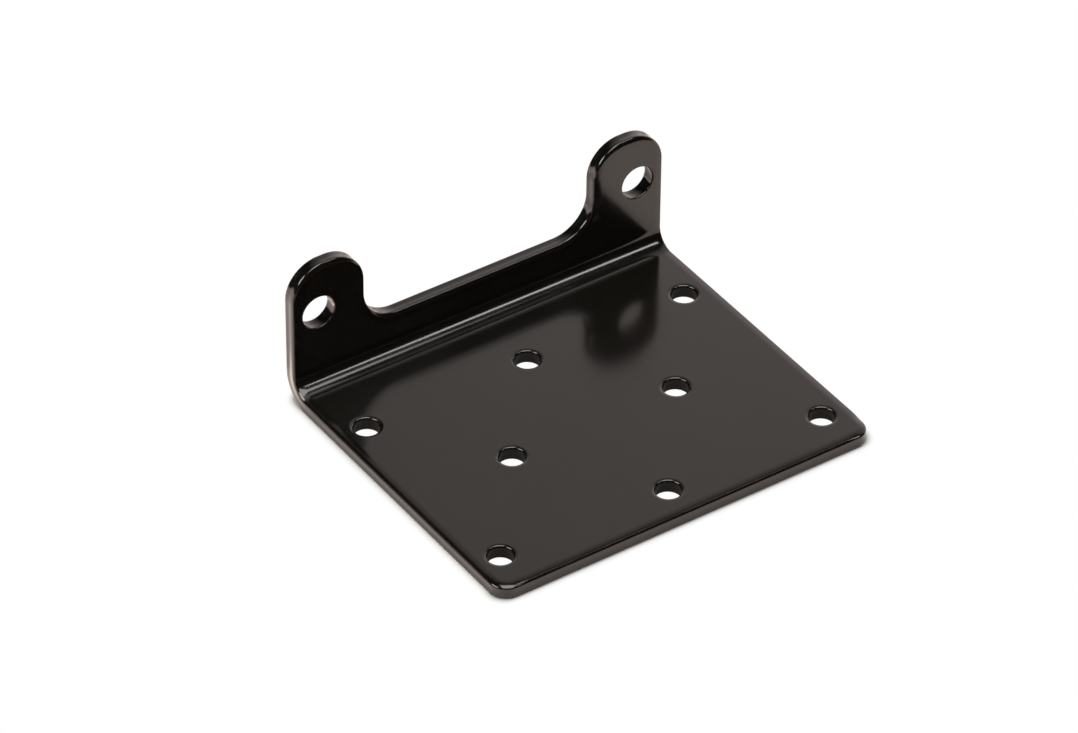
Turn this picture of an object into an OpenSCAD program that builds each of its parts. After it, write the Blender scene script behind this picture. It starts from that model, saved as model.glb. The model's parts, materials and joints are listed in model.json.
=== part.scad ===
// Winch mounting plate: one punched steel sheet, bent once along a straight line.
// A flat base carries the winch, and an upright flange with two ears carries the fairlead.
// Origin: centre of the four corner holes, on the underside. +X runs along the bend,
// +Y towards the flange and +Z up. All sizes are in millimetres and include the black coat.

/* [Bolt patterns] */
// Distance between the corner holes, along the bend
corner_x = 123.8; // [80:0.1:160]
// Distance between the corner holes, front to back
corner_y = 76.2; // [50:0.1:120]
// Distance between the two holes of the middle row
middle_x = 63.5; // [30:0.1:100]
// Distance between the front and back holes on the centre line
centre_y = 79; // [50:0.1:120]
// Diameter of the eight holes in the base
base_hole_d = 8.7; // [4:0.1:12]
// Distance between the holes in the ears
ear_x = 123.8; // [90:0.1:160]
// Height of the ear holes above the underside
ear_z = 33.2; // [28:0.1:60]
// Diameter of the ear holes
ear_hole_d = 12; // [5:0.1:12]

/* [Plate] */
// Distance from the outermost holes to the side of the plate
side_margin = 9.8; // [9.8:0.1:25]
// Distance from the foremost hole in the base to the front edge
front_margin = 12; // [9:0.1:40]
// Distance from the back row of holes to the back face of the flange
flange_setback = 32.1; // [25:0.1:80]
// Radius of the two front corners
corner_r = 6.1; // [4:0.1:12]

/* [Sheet] */
// Thickness of the sheet with its coat
sheet_t = 4.9; // [3:0.1:8]
// Inside radius of the bend
bend_r = 6.4; // [3:0.1:9]

/* [Ears] */
// Distance from an ear hole to the inner side of its ear
ear_reach = 17.3; // [15.1:0.1:40]
// Distance from an ear hole up to the top of its ear
ear_rise = 18.6; // [13:0.1:40]
// Radius of the corners at the top of the ears
ear_r = 12.4; // [4:0.1:13.5]
// Height from the underside to the low edge between the ears
valley_h = 20.3; // [16:0.1:26]
// Radius where that low edge meets an ear
valley_r = 13.1; // [2:0.1:19]

/* [Edges] */
// Width of the band along the punched edges that is rolled down by the punch
roll_w = 3.1; // [1.5:0.1:3.1]
// Tilt of that band where it meets the edge radius, in degrees
roll_tilt = 20; // [10:1:30]
// Radius between the rolled band and the side wall
edge_r = 0.7; // [0.4:0.1:1]
// Radius of the edges and the hole mouths on the underside and on the back of the flange
back_r = 0.4; // [0.3:0.1:1]
// Radius around the mouths of the holes on the top and on the front of the flange
rim_r = 0.6; // [0.3:0.1:0.6]

/* [Hidden] */
$fn = 96;

// Sides, front edge and the two faces of the flange, all set from the holes
half_w = max(corner_x, ear_x) / 2 + side_margin;
plate_w = 2 * half_w;
front_y = min(-corner_y / 2, corner_y / 2 - centre_y) - front_margin;
flange_back = corner_y / 2 + flange_setback;
flange_front = flange_back - sheet_t;
// Axis of the bend, and the radius of its outer face
bend_y = flange_front - bend_r;
bend_z = sheet_t + bend_r;
bend_outer = bend_r + sheet_t;
// Inner side, width and top of an ear, and the height where its corners start
ear_in = ear_x / 2 - ear_reach;
ear_w = half_w - ear_in;
ear_top = ear_z + ear_rise;
ear_shoulder = ear_top - ear_r;
fillet_x = ear_in - valley_r;
fillet_z = valley_h + valley_r;

// Rolled band: a wide arc from the flat face, then the edge radius down to the wall
roll_end = edge_r * (1 - sin(roll_tilt));
roll_r = (roll_w - roll_end) / sin(roll_tilt);
roll_depth = roll_r * (1 - cos(roll_tilt)) + edge_r * cos(roll_tilt);

// How far a cutting or joining shape goes past the faces it meets
reach = 1;

base_holes = [
    for (x = [-1, 1], y = [-1, 1]) [x * corner_x / 2, y * corner_y / 2],
    for (x = [-1, 1]) [x * middle_x / 2, 0],
    [0, corner_y / 2],
    [0, corner_y / 2 - centre_y]
];
ear_holes = [for (x = [-1, 1]) [x * ear_x / 2, ear_z]];

// Outline of the flat base, seen from above
module base_outline() {
    translate([-half_w, front_y + corner_r]) square([plate_w, bend_y - front_y - corner_r]);
    translate([corner_r - half_w, front_y]) square([plate_w - 2 * corner_r, 2 * corner_r]);
    for (x = [-1, 1]) translate([x * (half_w - corner_r), front_y + corner_r]) circle(corner_r);
}

// One ear with its two round corners and the fillet that joins it to the low edge
module ear_outline() {
    translate([ear_in, bend_z]) square([ear_w, ear_shoulder - bend_z]);
    translate([ear_in + ear_r, bend_z]) square([ear_w - 2 * ear_r, ear_top - bend_z]);
    for (x = [ear_in + ear_r, half_w - ear_r]) translate([x, ear_shoulder]) circle(ear_r);
    difference() {
        translate([fillet_x, valley_h - reach]) square([valley_r + reach, valley_r + reach]);
        translate([fillet_x, fillet_z]) circle(valley_r);
    }
}

// Outline of the flange above the bend, seen from the front
module flange_outline() {
    translate([-half_w, bend_z]) square([plate_w, valley_h - bend_z]);
    for (side = [0, 1]) mirror([side, 0]) ear_outline();
}

// Section through the bend
module bend_section() {
    intersection() {
        difference() {
            circle(bend_outer);
            circle(bend_r);
        }
        translate([0, -bend_outer]) square(bend_outer);
    }
}

// The folded sheet with its holes and square edges
module folded_sheet() {
    linear_extrude(sheet_t) difference() {
        base_outline();
        for (p = base_holes) translate(p) circle(d = base_hole_d);
    }
    translate([-half_w, bend_y, bend_z]) rotate([90, 0, 90]) linear_extrude(plate_w) bend_section();
    translate([0, flange_back, 0]) rotate([90, 0, 0]) linear_extrude(sheet_t) difference() {
        flange_outline();
        for (p = ear_holes) translate(p) circle(d = ear_hole_d);
    }
}

// What the punch rolls off an edge: x runs in from the edge, y up from the face
module rolled_section() {
    difference() {
        translate([-reach, -roll_depth]) square([roll_w + reach, roll_depth + reach]);
        intersection() {
            translate([roll_w, -roll_r]) circle(roll_r);
            translate([roll_end, -roll_r]) square([roll_w, roll_r]);
        }
        translate([edge_r, -roll_depth]) circle(edge_r);
    }
}

// What a plain radius takes off an edge, laid out in the same way
module round_section(r) {
    difference() {
        translate([-reach, -r]) square([r + reach, r + reach]);
        translate([r, -r]) circle(r);
    }
}

// Carries an edge section from p to q, with the sheet on the left
module run(p, q) {
    way = q - p;
    translate(p) rotate([0, 0, atan2(way.y, way.x)]) rotate([90, 0, 90]) linear_extrude(norm(way)) children();
}

// Carries it round an outside corner or, with inside set, round an inside one
module turn(centre, r, start, inside = false) {
    translate(centre) rotate([0, 0, start]) rotate_extrude(angle = 90)
        translate([r, 0]) mirror([inside ? 0 : 1, 0]) children();
}

// All round the base, from the bend and back to it
module base_edge() {
    for (side = [0, 1]) mirror([side, 0, 0]) turn([half_w - corner_r, front_y + corner_r], corner_r, -90) children();
    run([-half_w, bend_y], [-half_w, front_y + corner_r]) children();
    run([corner_r - half_w, front_y], [half_w - corner_r, front_y]) children();
    run([half_w, front_y + corner_r], [half_w, bend_y]) children();
}

// All round the flange, over the ears and the low edge between them
module flange_edge() {
    run([fillet_x, valley_h], [-fillet_x, valley_h]) children();
    for (side = [0, 1]) mirror([side, 0, 0]) {
        run([half_w, bend_z], [half_w, ear_shoulder]) children();
        turn([half_w - ear_r, ear_shoulder], ear_r, 0) children();
        run([half_w - ear_r, ear_top], [ear_in + ear_r, ear_top]) children();
        turn([ear_in + ear_r, ear_shoulder], ear_r, 90) children();
        run([ear_in, ear_shoulder], [ear_in, fillet_z]) children();
        turn([fillet_x, fillet_z], valley_r, -90, inside = true) children();
    }
}

// Both ends of the bend, on its inner face and on its outer face
module bend_edges() {
    for (side = [0, 1]) mirror([side, 0, 0]) translate([-half_w, bend_y, bend_z]) rotate([0, 90, 0]) {
        rotate_extrude(angle = 90) translate([bend_r, 0]) rotate(90) rolled_section();
        rotate_extrude(angle = 90) translate([bend_outer, 0]) mirror([1, -1]) round_section(back_r);
    }
}

// The mouths of a set of holes, rounded by r, on the face at height zero
module hole_rims(places, d, r) {
    for (p = places) translate(p) rotate_extrude() translate([d / 2, 0]) round_section(r);
}

module mounting_plate() {
    color([0.06, 0.06, 0.06]) difference() {
        folded_sheet();
        translate([0, 0, sheet_t]) {
            base_edge() rolled_section();
            hole_rims(base_holes, base_hole_d, rim_r);
        }
        mirror([0, 0, 1]) {
            base_edge() round_section(back_r);
            hole_rims(base_holes, base_hole_d, back_r);
        }
        translate([0, flange_front, 0]) rotate([90, 0, 0]) {
            flange_edge() rolled_section();
            hole_rims(ear_holes, ear_hole_d, rim_r);
        }
        translate([0, flange_back, 0]) rotate([90, 0, 0]) mirror([0, 0, 1]) {
            flange_edge() round_section(back_r);
            hole_rims(ear_holes, ear_hole_d, back_r);
        }
        bend_edges();
    }
}

mounting_plate();
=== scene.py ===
import json
import math

import bmesh
import bpy
from mathutils import Matrix, Vector
from mathutils.geometry import delaunay_2d_cdt


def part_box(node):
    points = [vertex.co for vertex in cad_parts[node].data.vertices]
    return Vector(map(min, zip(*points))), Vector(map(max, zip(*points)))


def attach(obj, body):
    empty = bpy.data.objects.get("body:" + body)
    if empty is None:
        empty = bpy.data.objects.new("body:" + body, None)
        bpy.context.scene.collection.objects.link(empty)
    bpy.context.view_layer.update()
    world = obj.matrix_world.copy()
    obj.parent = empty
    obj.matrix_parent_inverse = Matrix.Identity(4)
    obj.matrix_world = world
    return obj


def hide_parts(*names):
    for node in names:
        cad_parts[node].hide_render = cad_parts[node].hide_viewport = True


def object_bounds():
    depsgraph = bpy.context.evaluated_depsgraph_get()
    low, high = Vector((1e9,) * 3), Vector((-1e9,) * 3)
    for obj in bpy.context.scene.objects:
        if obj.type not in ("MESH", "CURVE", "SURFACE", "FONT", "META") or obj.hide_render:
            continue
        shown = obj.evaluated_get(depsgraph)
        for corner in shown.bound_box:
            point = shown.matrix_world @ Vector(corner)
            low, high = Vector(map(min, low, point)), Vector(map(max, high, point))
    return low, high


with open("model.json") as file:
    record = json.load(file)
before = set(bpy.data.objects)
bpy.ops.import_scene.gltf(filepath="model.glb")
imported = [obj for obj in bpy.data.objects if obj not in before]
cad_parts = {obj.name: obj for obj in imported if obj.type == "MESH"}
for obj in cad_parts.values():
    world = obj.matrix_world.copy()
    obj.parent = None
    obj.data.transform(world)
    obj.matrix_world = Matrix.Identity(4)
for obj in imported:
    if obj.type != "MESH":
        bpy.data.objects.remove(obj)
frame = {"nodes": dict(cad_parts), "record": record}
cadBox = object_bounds()
mm = 0.001
print("frame loaded:", sorted(frame["nodes"]))


# Mounting plate

# Sizes in mm. The outer size comes from the frame and the holes from its bolt patterns.
plateShape = {
    "sheetT": 4.9,      # sheet with its coat
    "bendR": 6.4,       # inside of the bend
    "bendLean": -6.0,   # degrees that the middle of the bend is shaded as facing up more, fitted
    "cornerR": 6.1,     # two front corners
    "earReach": 17.3,   # from an ear hole to the inner side of its ear
    "earR": 12.4,
    "valleyH": 20.3,    # height of the low edge between the ears
    "valleyR": 13.1,
    "rollW": 3.1,       # band that the punch rolls down
    # Each stretch of the punched edge from the face to the wall: the tilt where it ends, in degrees,
    # and its radius. The first radius follows from the width of the band.
    "frontEdge": ((18, 0), (30, 0.25), (46, 0.25), (64, 2.3), (90, 0.6)),
    "cornerEdge": ((18, 0), (21, 9.0), (37, 1.8), (66, 0.9), (90, 0.45)),
    "leftEdge": ((11, 0), (40, 0.3), (50, 5.0), (62, 0.4), (90, 1.6)),
    "rightEdge": ((12, 0), (38, 0.3), (44, 0.3), (62, 0.3), (90, 0.8)),
    "earSideEdge": ((5, 0), (30, 0.2), (45, 0.3), (62, 0.5), (90, 2.0)),
    "flangeEdge": ((5, 0), (24, 0.3), (40, 4.4), (56, 1.0), (90, 0.45)),
    "mouthW": 1.4,      # the same at the mouths of the holes in the base
    "mouthEdge": ((18, 0), (90, 0.75)),
    "earMouthW": 0.68,  # and in the ears, where there is less room
    "earMouthEdge": ((14, 0), (90, 0.45)),
    "earBlend": 10.0,   # mm past the start of the bend over which a side's edge turns into an ear's
    "cornerMid": 0.3,   # where the middle of a corner's arc lies, as a share of its radius
    "cornerReach": 9.5,  # mm from there to where the corner's own edge ends
    "cornerBlend": 5.0,  # mm over which it sets in
    "backR": 0.4,       # edges and hole mouths on the hidden side
    "waistDepth": 0.1,  # how far the torn part of the punched wall lies back
    "arcStep": 3.0,     # degrees
    "holeStep": 5.0,    # degrees
    "edgeStep": 2.0,    # mm
    "gridStep": 5.0,    # mm
    "gridClear": 0.6,   # share of a grid step that stays free beside a rim
    "stretchSteps": 5,  # faces across each stretch of a punched edge
    "roundSteps": 6,    # across a plain radius
    "wallSteps": 10,    # across the punched wall
}


def toMm(point):
    return [c / mm for c in point]


def boltHoles(name):
    # Centres in the sheet's plane, in mm, and the radius, from a bolt pattern of the record
    mount = next(m for m in frame["record"]["mounts"] if m["name"] == name)
    dims = mount["dims"]
    x, y, z = toMm(mount["pos_m"])
    across = z if mount["axis"][1] else y
    halfX = dims.get("spacing_x_mm", 0) / 2
    halfY = dims.get("spacing_y_mm", 0) / 2
    spots = {(x + i * halfX, across + j * halfY) for i in (-1, 1) for j in (-1, 1)}
    return sorted(spots), dims["hole_r_mm"]


def arcPoints(centre, r, start, end, inside=False):
    # Points along an arc, each with the direction that faces away from the sheet
    steps = max(2, round(abs(end - start) / plateShape["arcStep"]))
    side = -1 if inside else 1
    points = []
    for k in range(steps + 1):
        a = math.radians(start + (end - start) * k / steps)
        out = (math.cos(a), math.sin(a))
        points.append((centre[0] + r * out[0], centre[1] + r * out[1], side * out[0], side * out[1]))
    return points


def linePoints(a, b, out):
    # Points inside a straight stretch, without its two ends
    length = math.dist(a, b)
    steps = max(1, round(length / plateShape["edgeStep"]))
    points = []
    for k in range(1, steps):
        points.append((a[0] + (b[0] - a[0]) * k / steps, a[1] + (b[1] - a[1]) * k / steps, *out))
    return points


class FlatSheet:
    # The sheet before it is bent: x along the bend, s from front to back along its face, depth into it
    def __init__(self, shape):
        low, high = (toMm(c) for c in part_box("mounting_plate"))
        self.shape = shape
        self.halfW = high[0]
        self.frontY = low[1]
        self.bendY = high[1] - shape["sheetT"] - shape["bendR"]
        self.bendZ = shape["sheetT"] + shape["bendR"]
        self.bendEnd = self.bendY + shape["bendR"] * math.pi / 2
        self.earTop = self.rise(high[2])

    def rise(self, z):
        # Where a height on the flange lies on the flat sheet
        return self.bendEnd + z - self.bendZ

    def fold(self, x, s, depth, nx, ns, nf):
        # A point and its normal after the bend
        r = self.shape["bendR"]
        turn = min(max((s - self.bendY) / r, 0), math.pi / 2)
        along, face = self.directions(turn)
        foot = Vector((x, self.bendY + r * math.sin(turn), self.bendZ - r * math.cos(turn)))
        foot += along * (s - self.bendY - r * turn)
        place = (foot - face * depth) * mm
        along, face = self.directions(turn + math.radians(self.shape["bendLean"]) * math.sin(2 * turn))
        return place, Vector((nx, 0, 0)) + along * ns + face * nf

    def directions(self, turn):
        return Vector((0, math.cos(turn), math.sin(turn))), Vector((0, -math.sin(turn), math.cos(turn)))


sheet = FlatSheet(plateShape)


def sheetOutline():
    # Anticlockwise from the middle of the front edge: the right half, then its mirror image
    p = plateShape
    halfW, frontY = sheet.halfW, sheet.frontY
    earSpots, _ = boltHoles("fairlead_bolts")
    earIn = earSpots[-1][0] - p["earReach"]
    shoulder = sheet.earTop - p["earR"]
    valley = sheet.rise(p["valleyH"])
    filletX, filletS = earIn - p["valleyR"], valley + p["valleyR"]
    cornerX, cornerS = halfW - p["cornerR"], frontY + p["cornerR"]
    outerX, innerX = halfW - p["earR"], earIn + p["earR"]

    half = [(0, frontY, 0, -1)]
    half += linePoints((0, frontY), (cornerX, frontY), (0, -1))
    half += arcPoints((cornerX, cornerS), p["cornerR"], -90, 0)
    half += linePoints((halfW, cornerS), (halfW, sheet.bendY), (1, 0))
    half += [(halfW, s, 1, 0) for s in bendRows()]
    half += linePoints((halfW, sheet.bendEnd), (halfW, shoulder), (1, 0))
    half += arcPoints((outerX, shoulder), p["earR"], 0, 90)
    half += arcPoints((innerX, shoulder), p["earR"], 90, 180)
    half += linePoints((earIn, shoulder), (earIn, filletS), (-1, 0))
    half += arcPoints((filletX, filletS), p["valleyR"], 0, -90, inside=True)
    half += linePoints((filletX, valley), (0, valley), (0, 1))
    half += [(0, valley, 0, 1)]
    return half + [(-x, s, -nx, ns) for x, s, nx, ns in reversed(half[1:-1])]


def bendRows():
    steps = round(90 / plateShape["arcStep"])
    return [sheet.bendY + (sheet.bendEnd - sheet.bendY) * k / steps for k in range(steps + 1)]


def roundSection(r):
    # Inset from the edge, depth below the face and tilt of the surface, for a plain radius
    steps = plateShape["roundSteps"]
    tilts = [math.radians(90 * k / steps) for k in range(steps + 1)]
    return [(r * (1 - math.sin(t)), r * (1 - math.cos(t)), t) for t in tilts]


def punchedSection(width, stretches):
    # The same for a punched edge that is made of several stretches
    corners = [math.radians(tilt) for tilt, _ in stretches]
    starts = [0] + corners[:-1]
    later = zip(stretches[1:], starts[1:], corners[1:])
    rest = sum(r * (math.sin(b) - math.sin(a)) for (_, r), a, b in later)
    radii = [(width - rest) / math.sin(corners[0])] + [r for _, r in stretches[1:]]
    inset, depth = width, 0
    section = [(inset, depth, 0)]
    steps = plateShape["stretchSteps"]
    for r, a, b in zip(radii, starts, corners):
        for k in range(1, steps + 1):
            t = a + (b - a) * k / steps
            across = r * (math.sin(t) - math.sin(a))
            down = r * (math.cos(a) - math.cos(t))
            section.append((inset - across, depth + down, t))
        inset, depth, _ = section[-1]
    return section


def blendSections(one, other, share):
    return [tuple(a + (b - a) * share for a, b in zip(p, q)) for p, q in zip(one, other)]


def smooth(share):
    share = min(max(share, 0), 1)
    return share * share * (3 - 2 * share)


def outlineSection(sections, x, s, nx, ns):
    # The section at a place on the outline: from the side's to the front's or the flange's by the way
    # it faces, and rolled further at the front corners
    p = plateShape
    side = sections["rightEdge" if nx > 0 else "leftEdge"]
    if s > sheet.bendY:
        if nx <= 0:
            side = blendSections(side, sections["earSideEdge"], smooth((s - sheet.bendY) / p["earBlend"]))
        return blendSections(side, sections["flangeEdge"], ns * ns)
    inwards = p["cornerR"] * p["cornerMid"]
    away = math.dist((abs(x), s), (sheet.halfW - inwards, sheet.frontY + inwards))
    section = blendSections(side, sections["frontEdge"], ns * ns)
    share = smooth((p["cornerReach"] - away) / p["cornerBlend"])
    return blendSections(section, sections["cornerEdge"], share)


def punchedWall(top, bottom, waist):
    # Below the clean cut the sheet tears and lies back a little; the coat fills it out again at the end
    steps = plateShape["wallSteps"]
    wall = []
    for k in range(1, steps):
        f = k / steps
        inset = waist * math.sin(math.pi * f) ** 2
        slope = waist * math.pi * math.sin(2 * math.pi * f) / (bottom - top)
        wall.append((inset, top + (bottom - top) * f, math.pi / 2 + math.atan(slope)))
    return wall


def fullSection(front, back, waist):
    # From the front face over the edge and round to the back face
    t = plateShape["sheetT"]
    turned = [(inset, t - depth, math.pi - tilt) for inset, depth, tilt in reversed(back)]
    return front + punchedWall(front[-1][1], turned[0][1], waist) + turned


def addPoint(bm, layer, x, s, depth, normal):
    place, direction = sheet.fold(x, s, depth, *normal)
    vert = bm.verts.new(place)
    vert[layer] = direction
    return vert


def sweepEdge(bm, layer, outline, sectionAt):
    # Carries a section round a closed outline that has the sheet on its left
    rings = []
    for x, s, nx, ns in outline:
        ring = []
        for inset, depth, tilt in sectionAt(x, s, nx, ns):
            normal = (nx * math.sin(tilt), ns * math.sin(tilt), math.cos(tilt))
            ring.append(addPoint(bm, layer, x - nx * inset, s - ns * inset, depth, normal))
        rings.append(ring)
    for ring, after in zip(rings, rings[1:] + rings[:1]):
        for j in range(len(ring) - 1):
            bm.faces.new((ring[j], ring[j + 1], after[j + 1], after[j]))


def insetPoints(outline, inset):
    return [(x - nx * inset, s - ns * inset) for x, s, nx, ns in outline]


def fillPanel(bm, layer, border, holes, depth, front):
    # A flat panel with round holes, meshed over an even grid of points
    step = plateShape["gridStep"]
    insideOnly = 1      # keeps the triangles inside the border
    tiny = 1e-6         # mm
    holeShare = 0.998   # a hole's rim has straight sides, so it lies a little inside its circle
    coords, edges = [], []
    for loop in [border] + [[(x, s) for x, s, _, _ in hole["ring"]] for hole in holes]:
        first = len(coords)
        coords += loop
        edges += [(first + k, first + (k + 1) % len(loop)) for k in range(len(loop))]
    xs, ss = [c[0] for c in border], [c[1] for c in border]
    rim = list(coords)
    for i in range(int((max(xs) - min(xs)) / step)):
        for j in range(int((max(ss) - min(ss)) / step)):
            spot = (min(xs) + (i + 0.5) * step, min(ss) + (j + 0.5) * step)
            if min(math.dist(spot, c) for c in rim) > step * plateShape["gridClear"]:
                coords.append(spot)
    spots = [Vector(c) for c in coords]
    verts, _, tris, _, _, _ = delaunay_2d_cdt(spots, edges, [], insideOnly, tiny)
    face = (0, 0, 1) if front else (0, 0, -1)
    made = [addPoint(bm, layer, v.x, v.y, depth, face) for v in verts]
    for tri in tris:
        middle = sum((verts[i] for i in tri), Vector((0, 0))) / 3
        if any(math.dist(middle, hole["centre"]) < hole["open"] * holeShare for hole in holes):
            continue
        bm.faces.new([made[i] for i in (tri if front else reversed(tri))])
    for vert in made:
        if not vert.link_faces:
            bm.verts.remove(vert)


def fillBend(bm, layer, halfWidth, depth, front):
    # The curved strip between the base and the flange
    columns = bendColumns(halfWidth)
    face = (0, 0, 1) if front else (0, 0, -1)
    grid = [[addPoint(bm, layer, x, s, depth, face) for x in columns] for s in bendRows()]
    for row, after in zip(grid, grid[1:]):
        for i in range(len(columns) - 1):
            quad = (row[i], row[i + 1], after[i + 1], after[i])
            bm.faces.new(quad if front else quad[::-1])


def bendColumns(halfWidth):
    steps = round(2 * halfWidth / plateShape["gridStep"])
    return [halfWidth * (2 * k / steps - 1) for k in range(steps + 1)]


def holeLoops(names, rise):
    loops = []
    for name in names:
        spots, r = boltHoles(name)
        for x, s in spots:
            loops.append({"centre": (x, rise(s)), "r": r})
    return loops


def holeRing(hole, inset):
    # Clockwise, so that the sheet is on the left
    steps = round(360 / plateShape["holeStep"])
    ring = []
    for k in range(steps):
        a = -2 * math.pi * k / steps
        out = (math.cos(a), math.sin(a))
        r = hole["r"] + inset
        ring.append((hole["centre"][0] + r * out[0], hole["centre"][1] + r * out[1], -out[0], -out[1]))
    return ring


def makePlate():
    p = plateShape
    bm = bmesh.new()
    layer = bm.verts.layers.float_vector.new("surfaceNormal")
    outline = sheetOutline()
    back = roundSection(p["backR"])
    kinds = ("frontEdge", "cornerEdge", "leftEdge", "rightEdge", "earSideEdge", "flangeEdge")
    sections = {k: fullSection(punchedSection(p["rollW"], p[k]), back, p["waistDepth"]) for k in kinds}
    sweepEdge(bm, layer, outline, lambda *spot: outlineSection(sections, *spot))

    baseHoles = holeLoops(("winch_bolts", "middle_bolts", "centre_bolts"), lambda s: s)
    earHoles = holeLoops(("fairlead_bolts",), sheet.rise)
    baseMouths = (baseHoles, p["mouthW"], p["mouthEdge"])
    earMouths = (earHoles, p["earMouthW"], p["earMouthEdge"])
    for holes, width, edge in (baseMouths, earMouths):
        section = fullSection(punchedSection(width, edge), back, p["waistDepth"])
        for hole in holes:
            hole["mouth"] = width
            sweepEdge(bm, layer, holeRing(hole, 0), lambda *spot: section)

    for inset, depth, front in ((p["rollW"], 0, True), (p["backR"], p["sheetT"], False)):
        halfWidth = sheet.halfW - inset
        for hole in baseHoles + earHoles:
            widening = hole["mouth"] if front else p["backR"]
            hole["open"] = hole["r"] + widening
            hole["ring"] = holeRing(hole, widening)
        border = insetPoints(outline, inset)
        columns = bendColumns(halfWidth)[1:-1]
        base = [c for c in border if c[1] <= sheet.bendY]
        right = [c for c in base if c[0] >= 0]
        left = [c for c in base if c[0] < 0]
        foot = [(x, sheet.bendY) for x in reversed(columns)]
        fillPanel(bm, layer, right + foot + left, baseHoles, depth, front)
        flange = [c for c in border if c[1] >= sheet.bendEnd]
        foot = [(x, sheet.bendEnd) for x in columns]
        fillPanel(bm, layer, foot + flange, earHoles, depth, front)
        fillBend(bm, layer, halfWidth, depth, front)

    weldGap = 1e-7      # metres
    bmesh.ops.remove_doubles(bm, verts=bm.verts, dist=weldGap)
    mesh = bpy.data.meshes.new("foldedPlate")
    bm.to_mesh(mesh)
    bm.free()
    normals = [Vector(item.vector).normalized() for item in mesh.attributes["surfaceNormal"].data]
    mesh.attributes.remove(mesh.attributes["surfaceNormal"])
    mesh.shade_smooth()
    mesh.normals_split_custom_set_from_vertices(normals)
    plate = bpy.data.objects.new("foldedPlate", mesh)
    bpy.context.scene.collection.objects.link(plate)
    print("plate made:", len(mesh.polygons), "faces")
    return plate


# Gloss black coat

coatLook = {
    "black": (0.0040, 0.0033, 0.0026),      # colour of the coat
    "blackThin": (0.0050, 0.0042, 0.0033),  # where it is a little thinner
    "mottleScale": 85,
    "mottleRange": (0.35, 0.75),            # between which values of its noise one turns into the other
    "ior": 1.6,
    "roughness": (0.12, 0.15),
    "roughScale": 40,
    "roughRange": (0.3, 0.7),
    "peelScale": 420,      # orange peel, waves per metre
    "peelHeight": 0.0000012,
    "swellScale": 70,      # long soft waves of the sheet and the coat
    "swellHeight": 0.000006,
}


def addNode(tree, kind, settings=None, sockets=None):
    node = tree.nodes.new(kind)
    for name, value in (settings or {}).items():
        setattr(node, name, value)
    for name, value in (sockets or {}).items():
        if isinstance(value, bpy.types.NodeSocket):
            tree.links.new(value, node.inputs[name])
        else:
            node.inputs[name].default_value = value
    return node


def newMaterial(name):
    material = bpy.data.materials.new(name)
    material.use_nodes = True
    material.node_tree.nodes.clear()
    return material, material.node_tree


def glossBlackCoat():
    look = coatLook
    material, tree = newMaterial("glossBlackCoat")
    place = addNode(tree, "ShaderNodeTexCoord").outputs["Object"]

    def noise(scale, detail):
        sockets = {"Vector": place, "Scale": scale, "Detail": detail}
        return addNode(tree, "ShaderNodeTexNoise", sockets=sockets).outputs["Fac"]

    mottle = addNode(tree, "ShaderNodeValToRGB", sockets={"Fac": noise(look["mottleScale"], 3.0)})
    colours = (look["black"], look["blackThin"])
    for stop, position, colour in zip(mottle.color_ramp.elements, look["mottleRange"], colours):
        stop.position = position
        stop.color = (*colour, 1)
    haze = addNode(tree, "ShaderNodeMapRange", sockets={
        "Value": noise(look["roughScale"], 3.0),
        "From Min": look["roughRange"][0], "From Max": look["roughRange"][1],
        "To Min": look["roughness"][0], "To Max": look["roughness"][1]})
    swell = addNode(tree, "ShaderNodeBump", sockets={
        "Height": noise(look["swellScale"], 1.0), "Strength": 1.0, "Distance": look["swellHeight"]})
    peel = addNode(tree, "ShaderNodeBump", sockets={
        "Height": noise(look["peelScale"], 2.0), "Strength": 1.0, "Distance": look["peelHeight"],
        "Normal": swell.outputs["Normal"]})
    coat = addNode(tree, "ShaderNodeBsdfPrincipled", sockets={
        "Base Color": mottle.outputs["Color"], "Roughness": haze.outputs["Result"],
        "IOR": look["ior"], "Normal": peel.outputs["Normal"]})
    addNode(tree, "ShaderNodeOutputMaterial", sockets={"Surface": coat.outputs["BSDF"]})
    return material


plate = makePlate()
plate.data.materials.append(glossBlackCoat())
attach(plate, "root")
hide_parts("mounting_plate")
print("coat on")


# Floor and backdrop

floorLook = {
    "size": 8.0,                       # metres
    "colour": (0.85, 0.75, 0.72),
    "paintedShadeUnderPlate": (0.25, 0.22, 0.21),  # painted shade under the plate, which only the gloss of the hole walls sees
    "paintedShadeGain": 0.60,                      # how bright the camera sees the paper right beside the plate, darkened there as painted shade
    "shadow": 0.003,                   # metres from the plate over which its shadow, partly real and partly painted, fades to white
    "shadowCurve": 0.45,               # below 1 it fades faster beside the plate
    "paintedFrontShade": 0.0014,                   # metres before the front edge over which a painted shadow deepens
    "paintedFrontShadeGain": 0.45,                 # how much of the brightness the painted shadow leaves there
    "paintedFrontShadeEnd": (0.003, 0.010),        # metres behind the front edge between which the painted shadow ends
    "tuck": 0.001,                     # metres inside the plate's outline where the part under it starts
    # Painted light and shade on the paper, seen only in reflections: brighter to the left and back left,
    # darker far ahead. Each gives a factor against its plain colour, and the places in metres between which
    # it sets in
    "left": (1.35, -0.0695, -0.076),
    "farLeft": (0.4, -0.076, -0.084),
    "backLeft": (3.1, 0.058, 0.078),
    "ahead": (0.30, -0.068, -0.110),
}
backdropLook = {
    "distance": 1.0,       # metres behind the plate, along the camera's view
    "width": 4.4,
    "height": 2.8,
    "colour": (1.0, 0.89, 0.86),
    # Light at places from the floor to the top, and from the left to the right, as shares of the size
    "rise": ((0.0, 1.45), (0.2, 1.2), (0.29, 0.79), (0.45, 0.63),
             (0.53, 0.54), (0.62, 0.42), (0.76, 0.22), (1.0, 0.0)),
    "side": ((0.0, 0.0), (0.28, 0.0), (0.36, 0.35), (0.43, 0.68), (0.50, 0.90), (0.56, 1.0), (1.0, 1.0)),
}


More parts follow.
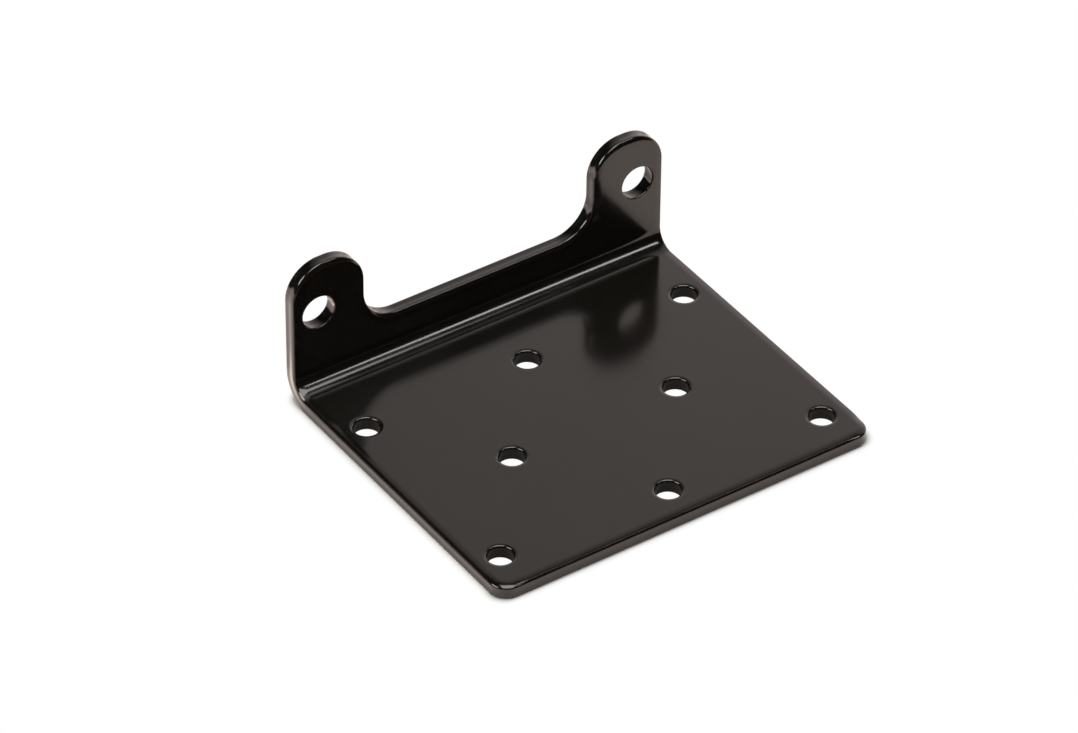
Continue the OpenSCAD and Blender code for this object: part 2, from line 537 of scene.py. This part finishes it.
def calc(tree, operation, *values):
    node = tree.nodes.new("ShaderNodeMath")
    node.operation = operation
    for value, socket in zip(values, node.inputs):
        if isinstance(value, bpy.types.NodeSocket):
            tree.links.new(value, socket)
        else:
            socket.default_value = value
    return node.outputs[0]


def ramp(tree, value, stops):
    # Straight stretches between the stops, scaled so that the ramp's own range is enough
    top = max(level for _, level in stops)
    node = addNode(tree, "ShaderNodeValToRGB", sockets={"Fac": value})
    points = node.color_ramp.elements
    while len(points) < len(stops):
        points.new(0.5)
    for point, (place, level) in zip(points, stops):
        point.position = place
        point.color = (level / top, level / top, level / top, 1)
    return calc(tree, "MULTIPLY", node.outputs["Color"], top)


def mixShaders(tree, share, one, other):
    node = addNode(tree, "ShaderNodeMixShader", sockets={"Fac": share})
    tree.links.new(one, node.inputs[1])
    tree.links.new(other, node.inputs[2])
    return node.outputs[0]


def floorPaper():
    material, tree = newMaterial("floorPaper")
    ray = addNode(tree, "ShaderNodeLightPath").outputs
    place = addNode(tree, "ShaderNodeTexCoord").outputs["Object"]
    x, y, _ = addNode(tree, "ShaderNodeSeparateXYZ", sockets={"Vector": place}).outputs
    (_, lowY, _), (highX, highY, _) = cadBox
    r = plateShape["cornerR"] * mm
    beside = calc(tree, "MAXIMUM", calc(tree, "SUBTRACT", calc(tree, "ABSOLUTE", x), highX - r), 0.0)
    along = calc(tree, "ABSOLUTE", calc(tree, "SUBTRACT", y, (lowY + highY) / 2))
    ahead = calc(tree, "MAXIMUM", calc(tree, "SUBTRACT", along, (highY - lowY) / 2 - r), 0.0)
    squares = calc(tree, "ADD", calc(tree, "MULTIPLY", beside, beside), calc(tree, "MULTIPLY", ahead, ahead))
    away = calc(tree, "SUBTRACT", calc(tree, "SQRT", squares), r)

    def fade(value, start, end, low, high):
        sockets = {"Value": value, "From Min": start, "From Max": end, "To Min": low, "To Max": high}
        node = addNode(tree, "ShaderNodeMapRange", {"interpolation_type": "SMOOTHSTEP"}, sockets)
        return node.outputs["Result"]

    def paper(colour):
        return addNode(tree, "ShaderNodeBsdfDiffuse", sockets={"Color": colour}).outputs[0]

    # Painted shadow beside the plate: the camera sees the really shaded paper, darkened by a gain, only
    # within a few millimetres of the plate, then plain white.
    clear = calc(tree, "POWER", fade(away, 0.0, floorLook["shadow"], 0.0, 1.0), floorLook["shadowCurve"])
    under = calc(tree, "LESS_THAN", away, -floorLook["tuck"])
    white = addNode(tree, "ShaderNodeEmission", sockets={"Strength": 1.0}).outputs[0]
    # Painted shade: the camera sees the paper beside the plate darker by a gain, and darker still just
    # before the front edge.
    paintedShadeGain = floorLook["paintedShadeGain"]
    paintedFrontShadeGain = paintedShadeGain * floorLook["paintedFrontShadeGain"]
    before = fade(y, lowY - floorLook["paintedFrontShade"], lowY, paintedShadeGain, paintedFrontShadeGain)
    behind = fade(y, *(lowY + end for end in floorLook["paintedFrontShadeEnd"]), paintedFrontShadeGain, paintedShadeGain)
    paintedFrontShade = calc(tree, "MAXIMUM", before, behind)
    grey = {"Red": paintedFrontShade, "Green": paintedFrontShade, "Blue": paintedFrontShade}
    shaded = addNode(tree, "ShaderNodeCombineColor", sockets=grey).outputs[0]
    seen = mixShaders(tree, calc(tree, "MAXIMUM", clear, under), paper(shaded), white)

    def part(name, value):
        factor, start, end = floorLook[name]
        if end < start:
            return fade(value, end, start, factor, 1.0)
        return fade(value, start, end, 1.0, factor)

    # Painted light and shade on the paper for the gloss: brighter to the left and back left, darker far
    # ahead.
    back = calc(tree, "MULTIPLY", part("farLeft", x), part("backLeft", y))
    back = calc(tree, "MULTIPLY", back, part("left", x))
    beyond = calc(tree, "LESS_THAN", x, floorLook["left"][1])
    level = calc(tree, "ADD", calc(tree, "MULTIPLY", back, beyond), calc(tree, "SUBTRACT", 1.0, beyond))
    level = calc(tree, "MULTIPLY", level, part("ahead", y))
    paintedReflectedLight = addNode(tree, "ShaderNodeVectorMath", {"operation": "SCALE"}, {
        0: floorLook["colour"], "Scale": level}).outputs[0]
    # Painted shade under the plate for the gloss of the hole walls, and painted light and shade elsewhere on
    # the paper.
    gloss = mixShaders(tree, under, paper(paintedReflectedLight), paper((*floorLook["paintedShadeUnderPlate"], 1)))
    rest = mixShaders(tree, ray["Is Glossy Ray"], paper((*floorLook["colour"], 1)), gloss)
    both = mixShaders(tree, ray["Is Camera Ray"], rest, seen)
    addNode(tree, "ShaderNodeOutputMaterial", sockets={"Surface": both})
    return material


def flatPanel(name, width, height):
    mesh = bpy.data.meshes.new(name)
    w, h = width / 2, height / 2
    mesh.from_pydata([(-w, -h, 0), (w, -h, 0), (w, h, 0), (-w, h, 0)], [], [(0, 1, 2, 3)])
    mesh.uv_layers.new(name="panel")
    for loop, corner in zip(mesh.uv_layers["panel"].data, ((0, 0), (1, 0), (1, 1), (0, 1))):
        loop.uv = corner
    panel = bpy.data.objects.new(name, mesh)
    bpy.context.scene.collection.objects.link(panel)
    return panel


def placed(spot, right, up, facing):
    # A place, and where an object's own three axes point
    return Matrix.Translation(spot) @ Matrix((right, up, facing)).transposed().to_4x4()


def makeFloor():
    floor = flatPanel("floor", floorLook["size"], floorLook["size"])
    floor.data.materials.append(floorPaper())


makeFloor()
print("floor laid")


# Camera, fitted to the photograph

cameraView = {
    "lens": 214.05,        # mm
    "sensor": 36,          # mm wide
    "eye": (-915.88, -1296.70, 1293.85),   # mm
    "azimuth": 34.590,     # degrees from +Y towards +X
    "drop": 38.593,        # degrees below level
    "roll": 0.538,
    "clipEnd": 50,         # metres
}


def makeCamera():
    view = cameraView
    turn, drop, roll = (math.radians(view[k]) for k in ("azimuth", "drop", "roll"))
    forward = Vector((math.sin(turn) * math.cos(drop), math.cos(turn) * math.cos(drop), -math.sin(drop)))
    level = Vector((math.cos(turn), -math.sin(turn), 0))
    upright = level.cross(forward)
    right = level * math.cos(roll) + upright * math.sin(roll)
    up = right.cross(forward)
    data = bpy.data.cameras.new("camera")
    data.lens = view["lens"]
    data.sensor_width = view["sensor"]
    data.clip_end = view["clipEnd"]
    camera = bpy.data.objects.new("camera", data)
    camera.matrix_world = placed(Vector(view["eye"]) * mm, right, up, -forward)
    bpy.context.scene.collection.objects.link(camera)
    bpy.context.scene.camera = camera


makeCamera()
print("camera set")


# Studio light. Directions are seen from the camera: turn to the right of its view, and height in degrees.

softBoxes = {
    "sideBox": {"turn": 98, "rise": 48.5, "away": 1.1, "width": 0.37, "height": 0.12, "radiance": 8.5},
    "topBox": {"turn": 151, "rise": 77, "away": 1.03, "width": 0.76, "height": 0.80, "radiance": 4.8},
    "leftBox": {"turn": -111, "rise": 38, "away": 1.1, "width": 0.62, "height": 0.46, "radiance": 7.5},
}
softBoxColour = (1.0, 0.975, 0.93)
roomLook = {
    "dark": 0.012,         # what the gloss sees of the room
    "fill": 0.05,          # even light on everything
}


def studioDirection(turn, rise):
    a = math.radians(cameraView["azimuth"] + turn)
    e = math.radians(rise)
    return Vector((math.sin(a) * math.cos(e), math.cos(a) * math.cos(e), math.sin(e)))


def makeSoftBox(name, box):
    data = bpy.data.lights.new(name, "AREA")
    data.shape = "RECTANGLE"
    data.size, data.size_y = box["width"], box["height"]
    data.energy = math.pi * box["radiance"] * box["width"] * box["height"]
    data.color = softBoxColour
    lamp = bpy.data.objects.new(name, data)
    way = studioDirection(box["turn"], box["rise"])
    across = studioDirection(90, 0) if name == "topBox" else way.cross(Vector((0, 0, 1))).normalized()
    across = (across - way * across.dot(way)).normalized()
    lamp.matrix_world = placed(way * box["away"], across, way.cross(across), way)
    bpy.context.scene.collection.objects.link(lamp)


def makeBackdrop():
    look = backdropLook
    panel = flatPanel("backdrop", look["width"], look["height"])
    material, tree = newMaterial("backdropPaper")
    place = addNode(tree, "ShaderNodeTexCoord").outputs["UV"]
    across, up, _ = addNode(tree, "ShaderNodeSeparateXYZ", sockets={"Vector": place}).outputs
    strength = calc(tree, "MULTIPLY", ramp(tree, up, look["rise"]), ramp(tree, across, look["side"]))
    glow = addNode(tree, "ShaderNodeEmission", sockets={"Color": (*look["colour"], 1), "Strength": strength})
    addNode(tree, "ShaderNodeOutputMaterial", sockets={"Surface": glow.outputs[0]})
    panel.data.materials.append(material)
    back, right = studioDirection(0, 0), studioDirection(90, 0)
    centre = back * look["distance"] + Vector((0, 0, look["height"] / 2))
    panel.matrix_world = placed(centre, right, Vector((0, 0, 1)), -back)
    panel.visible_camera = False


def makeRoom():
    world = bpy.data.worlds.new("room")
    world.use_nodes = True
    tree = world.node_tree
    tree.nodes.clear()
    ray = addNode(tree, "ShaderNodeLightPath").outputs
    fill = addNode(tree, "ShaderNodeBackground", sockets={"Strength": roomLook["fill"]})
    dark = addNode(tree, "ShaderNodeBackground", sockets={"Strength": roomLook["dark"]})
    white = addNode(tree, "ShaderNodeBackground", sockets={"Strength": 1.0})
    for item in (fill, dark, white):
        item.inputs["Color"].default_value = (1, 1, 1, 1)
    unlit = mixShaders(tree, ray["Is Glossy Ray"], fill.outputs[0], dark.outputs[0])
    seen = mixShaders(tree, ray["Is Camera Ray"], unlit, white.outputs[0])
    addNode(tree, "ShaderNodeOutputWorld", sockets={"Surface": seen})
    bpy.context.scene.world = world


for name, box in softBoxes.items():
    makeSoftBox(name, box)
makeBackdrop()
makeRoom()
bpy.context.scene.view_settings.view_transform = "Standard"
print("light set")
